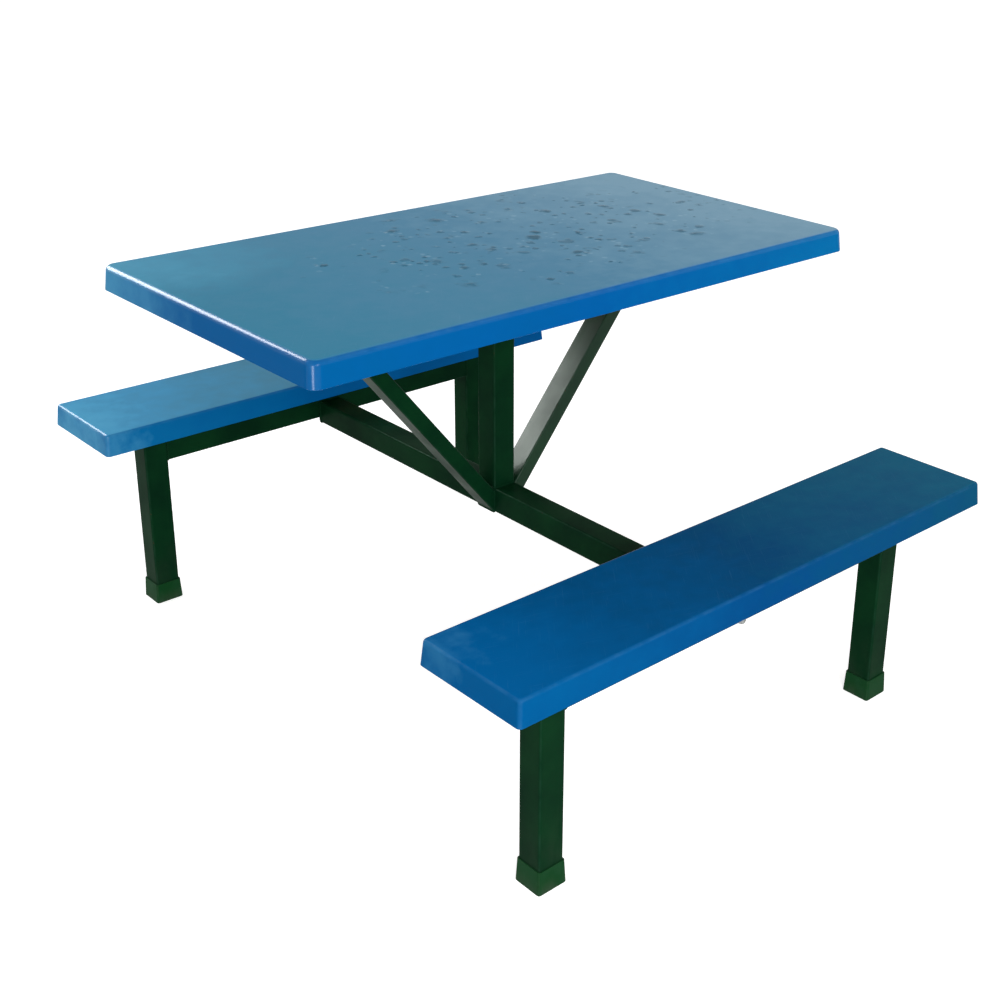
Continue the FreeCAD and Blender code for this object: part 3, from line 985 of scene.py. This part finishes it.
def moulding(name, node, corner_radius, edge_radius):
    """A glass-fibre tray upside down, the size of its CAD node."""
    low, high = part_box(node)
    flare = (high.z - low.z) * math.tan(MOULD_DRAFT)
    piece = tapered_box(name, low, high, MOULD_DRAFT)
    pick(piece, "EDGE", is_upright)
    bpy.ops.mesh.bevel(offset=corner_radius, segments=CORNER_STEPS, affect="EDGES")
    pick(piece, "FACE", lambda face: face.normal.z < -UP)
    bpy.ops.mesh.delete(type="FACE")
    pick(piece, "EDGE", lambda edge: lies_at(edge, high.z))
    bpy.ops.mesh.bevel(offset=edge_radius, segments=RIM_STEPS, affect="EDGES")
    cut_grid(low, high, flare + corner_radius + CUT_CLEAR)
    leave_edit()
    wander(piece)
    apply_modifier(piece, "SOLIDIFY", thickness=SHELL_WALL, offset=-1.0, use_even_offset=True,
                   material_offset=1, material_offset_rim=1)
    edit(piece, "EDGE")
    pick(piece, "EDGE", lambda edge: all(vertex.co.z < low.z + NEAR_RIM for vertex in edge.verts)
         and edge.calc_face_angle(0.0) > SHARP_FROM)
    bpy.ops.mesh.bevel(offset=TRIMMED_EDGE, segments=2, affect="EDGES")
    leave_edit()
    for face in piece.data.polygons:
        if is_round_edge(face):
            face.material_index = 2
    smooth(piece)
    return piece


print("skirts lean", round(math.degrees(MOULD_DRAFT)), "degrees")

# %% Tabletop and seats
TABLE_CORNER, TABLE_EDGE = 18.0 * MM, 8.5 * MM
SEAT_CORNER, SEAT_EDGE = 7.5 * MM, 5.5 * MM

tabletop = moulding("tabletop_moulding", "tabletop_shell", TABLE_CORNER, TABLE_EDGE)
back_seat = moulding("back_seat_moulding", "back_seat_shell", SEAT_CORNER, SEAT_EDGE)
front_seat = copied(back_seat, "front_seat_moulding", "back_seat_shell", "front_seat_shell")
for part, piece in {"tabletop": tabletop, "back_seat": back_seat, "front_seat": front_seat}.items():
    finish_piece(piece, "blue_gelcoat", gelcoats[part], laminate_finish, polished[part],
                 replaces=[part + "_shell"])

# %% [markdown]
# ## A bead that runs round a joint
# A weld bead and a bead of resin are the same shape at two sizes: a round string that follows a
# rectangle with rounded corners, a little thicker here and thinner there. A torus can't follow a
# rectangle, and a bevel on the tube would have no ripples. So a plane gives the rectangle, its
# corners are bevelled, its face is taken away, and what is left becomes a curve with thickness.

# %% One bead
IN_LINE = 0.999
RIPPLES_PER_METRE = 90.0
LYING = {"X": (0.0, math.pi / 2, 0.0), "Y": (math.pi / 2, 0.0, 0.0), "Z": (0.0, 0.0, 0.0)}


def outline_edges(piece, direction):
    """In edit mode, select the straight edges that run in a direction, and measure them."""
    def is_along(edge):
        return abs((edge.verts[0].co - edge.verts[1].co).normalized()[direction]) > IN_LINE

    pick(piece, "EDGE", is_along)
    chosen = [edge for edge in bmesh.from_edit_mesh(piece.data).edges if edge.select]
    return max(edge.calc_length() for edge in chosen)


def bead(axis, centre, width, height, corner, thickness, step, ripple):
    """A closed bead that lies flat across an axis. Width and height are its two sides in the
    order X, Y, Z. Step is the distance between its ripples' crests and hollows."""
    bpy.ops.object.select_all(action="DESELECT")
    sides = (height, width, 1.0) if axis == "X" else (width, height, 1.0)
    bpy.ops.mesh.primitive_plane_add(size=1.0, location=centre, rotation=LYING[axis])
    piece = bpy.context.object
    piece.scale = sides
    bpy.ops.object.transform_apply(location=True, rotation=True, scale=True)
    edit(piece, "VERT")
    bpy.ops.mesh.select_all(action="SELECT")
    bpy.ops.mesh.bevel(offset=corner, segments=4, affect="VERTICES")
    bpy.ops.mesh.select_all(action="SELECT")
    bpy.ops.mesh.delete(type="ONLY_FACE")
    for direction in (0, 1, 2):
        if "XYZ"[direction] != axis:
            length = outline_edges(piece, direction)
            bpy.ops.mesh.subdivide(number_cuts=max(1, round(length / step) - 1))
    leave_edit()
    bpy.ops.object.convert(target="CURVE")
    curve = bpy.context.object
    curve.data.bevel_depth = thickness
    curve.data.bevel_resolution = 2
    for number, point in enumerate(curve.data.splines[0].points):
        rise = ripple if number % 2 else 0.0
        point.radius = 1.0 - rise + 0.5 * ripple * noise.noise(Vector(point.co[:3]) * RIPPLES_PER_METRE)
    bpy.ops.object.convert(target="MESH")
    return bpy.context.object


def joined(name, pieces):
    """Several meshes joined into one, with its own name."""
    bpy.ops.object.select_all(action="DESELECT")
    for piece in pieces:
        piece.select_set(True)
    bpy.context.view_layer.objects.active = pieces[0]
    bpy.ops.object.join()
    whole = bpy.context.object
    whole.name = name
    whole.data.name = name
    bpy.ops.object.shade_smooth()
    return whole


print("bead helper ready")

# %% [markdown]
# ## Weld beads
# Wherever one tube of the frame ends against another, a welder has run a bead right round it.
# Painted over, it is a soft rippled seam about four millimetres wide. Each bead's place comes
# from the boxes of the two parts that it joins, so it can't miss the joint.

# %% Beads of the frame
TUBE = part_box("column")[1].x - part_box("column")[0].x
TUBE_CORNER = 4.0 * MM
BEAD = 2.0 * MM
BEAD_STEP = 1.7 * MM
BEAD_RIPPLE = 0.16


def weld(axis, centre, width=TUBE, height=TUBE):
    """A weld bead round the end of a tube."""
    return bead(axis, centre, width, height, TUBE_CORNER, BEAD, BEAD_STEP, BEAD_RIPPLE)


def bench_welds():
    """The beads of the back bench: at the rail's ends, and below each seat plate."""
    low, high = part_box("back_rail")
    across = middle("back_rail")
    under_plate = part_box("back_left_seat_plate")[0].z
    beads = [weld("X", (end, across.y, across.z)) for end in (low.x, high.x)]
    beads.append(weld("Z", (0.0, across.y, high.z)))
    for post in ("left_leg", "middle_post", "right_leg"):
        stands = middle("back_" + post)
        beads.append(weld("Z", (stands.x, stands.y, under_plate)))
    return joined("back_bench_welds", beads)


back_welds = bench_welds()
front_welds = copied(back_welds, "front_bench_welds", "back_rail", "front_rail")
finish_piece(back_welds, "green_paint", paints["weld"])
finish_piece(front_welds, "green_paint", paints["weld"])

# %% Beads of the stand
BRACE_THICKNESS = 28.0 * MM
BRACE_ANGLE = math.pi / 2 - BRACE_SLANT


def stand_welds():
    """The beads of the middle stand: beam ends, column, braces and the spine."""
    beam_low, beam_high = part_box("cross_beam")
    beam_middle = middle("cross_beam")
    spine_low, spine_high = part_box("table_spine")
    beads = [weld("Y", (0.0, end, beam_middle.z)) for end in (beam_low.y, beam_high.y)]
    beads.append(weld("Z", (0.0, 0.0, beam_high.z)))
    beads.append(weld("Z", (0.0, 0.0, spine_low.z), TUBE, spine_high.y - spine_low.y))
    for side, sign in (("left", -1.0), ("right", 1.0)):
        brace_low, brace_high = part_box("brace_" + side)
        brace_width = brace_high.y - brace_low.y
        foot_height = BRACE_THICKNESS / math.cos(BRACE_ANGLE)
        foot = (sign * TUBE / 2, 0.0, brace_low.z + foot_height / 2)
        beads.append(weld("X", foot, brace_width, foot_height))
        top_length = BRACE_THICKNESS / math.sin(BRACE_ANGLE)
        top_x = (brace_high.x - top_length / 2) if sign > 0 else (brace_low.x + top_length / 2)
        beads.append(weld("Z", (top_x, 0.0, brace_high.z), top_length, brace_width))
        end_x = spine_high.x if sign > 0 else spine_low.x
        beads.append(weld("X", (end_x, 0.0, (spine_low.z + spine_high.z) / 2),
                          spine_high.y - spine_low.y, spine_high.z - spine_low.z))
    return joined("stand_welds", beads)


finish_piece(stand_welds(), "green_paint", paints["weld"])

# %% [markdown]
# ## Resin round the boards
# The plywood board is pressed into wet laminate, and more resin is run round its lower edge to
# close the gap to the skirt. Seen from below it is a lumpy bead as wide as the gap, so the same
# helper makes it, thicker and smoother than a weld.

# %% Resin beads
BOND = 4.6 * MM
BOND_STEP = 14.0 * MM
BOND_RIPPLE = 0.10
BOND_RISE = 3.0 * MM
BOND_CORNER = 9.0 * MM


def bond(name, shell, core):
    """A bead of resin between a board's lower edge and the skirt around it."""
    outer_low, outer_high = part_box(shell)
    low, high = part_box(core)
    level = low.z + BOND_RISE
    lean = math.tan(MOULD_DRAFT)
    wall_x = outer_high.x - (level - outer_low.z) * lean - SHELL_WALL
    gap = wall_x - high.x
    centre = (low + high) / 2
    strip = bead("Z", (centre.x, centre.y, level), high.x - low.x + gap, high.y - low.y + gap,
                 BOND_CORNER, BOND, BOND_STEP, BOND_RIPPLE)
    print("gap beside the board", round(gap / MM, 1), "mm")
    return joined(name, [strip])


back_bond = bond("back_seat_bond", "back_seat_shell", "back_seat_core")
front_bond = copied(back_bond, "front_seat_bond", "back_seat_core", "front_seat_core")
for strip in (bond("tabletop_bond", "tabletop_shell", "tabletop_core"), back_bond, front_bond):
    finish_piece(strip, "blue_gelcoat", laminate_finish)

# %% [markdown]
# ## Foot caps
# Each leg stands in a moulded plastic cap. It widens towards the floor, its corners are round,
# and its open rim shows the thickness of its wall. A cylinder or a plain box would have none of
# that, so a box is tapered, its edges are rounded, and a socket for the tube is pressed into it.

# %% One cap and its copies
CAP_WALL = 2.2 * MM
CAP_FLOOR = 3.0 * MM
CAP_CORNER = 4.5 * MM
CAP_LEAN = math.radians(2.5)


def foot_cap(name, node):
    """A tapered cap with a socket, the size of its CAD node."""
    low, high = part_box(node)
    piece = tapered_box(name, low, high, CAP_LEAN)
    pick(piece, "EDGE", is_upright)
    bpy.ops.mesh.bevel(offset=CAP_CORNER, segments=4, affect="EDGES")
    pick(piece, "FACE", lambda face: face.normal.z > UP)
    bpy.ops.mesh.inset(thickness=CAP_WALL)
    pressed = CAP_FLOOR - (high.z - low.z)
    bpy.ops.mesh.extrude_region_move(TRANSFORM_OT_translate={"value": (0, 0, pressed)})
    leave_edit()
    edit(piece, "EDGE")
    pick(piece, "EDGE", lambda edge: (lies_at(edge, high.z) or lies_at(edge, low.z))
         and edge.calc_face_angle(0.0) > SHARP_FROM)
    bpy.ops.mesh.bevel(offset=TRIMMED_EDGE, segments=3, affect="EDGES")
    leave_edit()
    smooth(piece)
    return piece


FIRST_FOOT = "back_left_foot"
first_cap = foot_cap(FIRST_FOOT + "_cap", FIRST_FOOT)
caps = {FIRST_FOOT: first_cap}
for foot in ("back_right_foot", "front_left_foot", "front_right_foot"):
    caps[foot] = copied(first_cap, foot + "_cap", FIRST_FOOT, foot)
for foot, cap in caps.items():
    finish_piece(cap, "foot_plastic", foot_finish, replaces=[foot])
